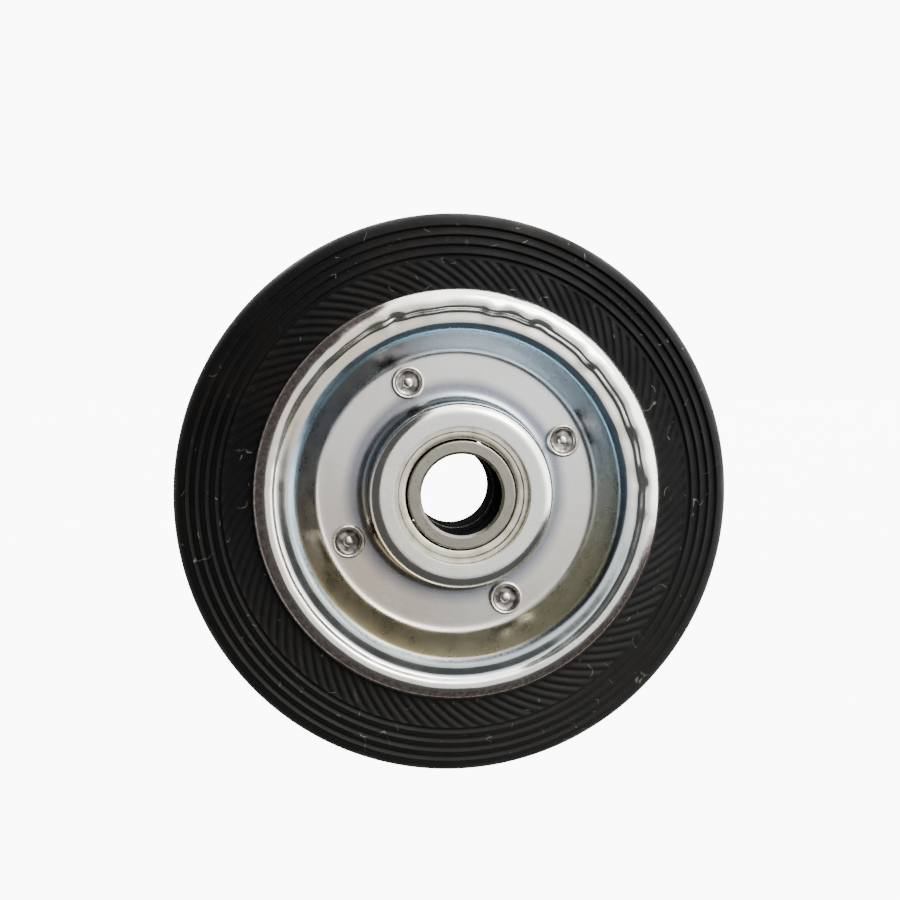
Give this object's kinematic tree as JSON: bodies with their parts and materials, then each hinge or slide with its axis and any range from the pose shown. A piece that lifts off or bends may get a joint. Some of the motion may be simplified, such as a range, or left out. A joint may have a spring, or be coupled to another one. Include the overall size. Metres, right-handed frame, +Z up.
{
  "type": "rubber-tyred steel wheel",
  "caption": "Pressed-steel disc wheel with a solid black rubber tyre, riveted halves and shielded ball bearings in its hub, turning on a plain axle.",
  "frame": {"origin": "centre of the wheel, on its axle line, midway between its two hub faces", "axes": "+Y along the axle, away from the front that the picture shows, so the front faces -Y; +Z up, +X to the right as seen from the front"},
  "size_m": [0.178, 0.039, 0.178],
  "materials": {
    "tyre_rubber": "matte black solid rubber, dusty",
    "zinc_plate": "pressed sheet, zinc plated and blue passivated",
    "rivet_zinc": "zinc plated, worn bright on the rim",
    "ring_steel": "ground bearing steel",
    "ball_steel": "polished bearing steel",
    "cage_steel": "pressed strip, plain",
    "shield_steel": "pressed sheet, zinc plated, slightly yellow"
  },
  "bodies": {
    "axle_side": {"front_inner_ring": "ring_steel", "rear_inner_ring": "ring_steel", "spacer_sleeve": "ring_steel"},
    "wheel": {"tyre": "tyre_rubber", "front_disc": "zinc_plate", "rear_disc": "zinc_plate", "rivet_1": "rivet_zinc", "rivet_2": "rivet_zinc", "rivet_3": "rivet_zinc", "rivet_4": "rivet_zinc", "front_outer_ring": "ring_steel", "rear_outer_ring": "ring_steel", "front_outer_shield": "shield_steel", "front_inner_shield": "shield_steel", "rear_outer_shield": "shield_steel", "rear_inner_shield": "shield_steel"},
    "front_ball_set": {"front_balls": "ball_steel", "front_cage_outer_half": "cage_steel", "front_cage_inner_half": "cage_steel", "front_cage_rivets": "cage_steel"},
    "rear_ball_set": {"rear_balls": "ball_steel", "rear_cage_outer_half": "cage_steel", "rear_cage_inner_half": "cage_steel", "rear_cage_rivets": "cage_steel"}
  },
  "joints": [
    {"name": "wheel_spin", "type": "hinge", "parent": "axle_side", "child": "wheel", "pos_m": [0, 0, 0], "axis": [0, 1, 0], "continuous": true},
    {"name": "front_cage_spin", "type": "hinge", "parent": "axle_side", "child": "front_ball_set", "pos_m": [0, -0.0095, 0], "axis": [0, 1, 0], "continuous": true},
    {"name": "rear_cage_spin", "type": "hinge", "parent": "axle_side", "child": "rear_ball_set", "pos_m": [0, 0.0095, 0], "axis": [0, 1, 0], "continuous": true}
  ],
  "couplings": [
    {"joint": "front_cage_spin", "follows": "wheel_spin", "ratio": 0.6031},
    {"joint": "rear_cage_spin", "follows": "wheel_spin", "ratio": 0.6031}
  ]
}
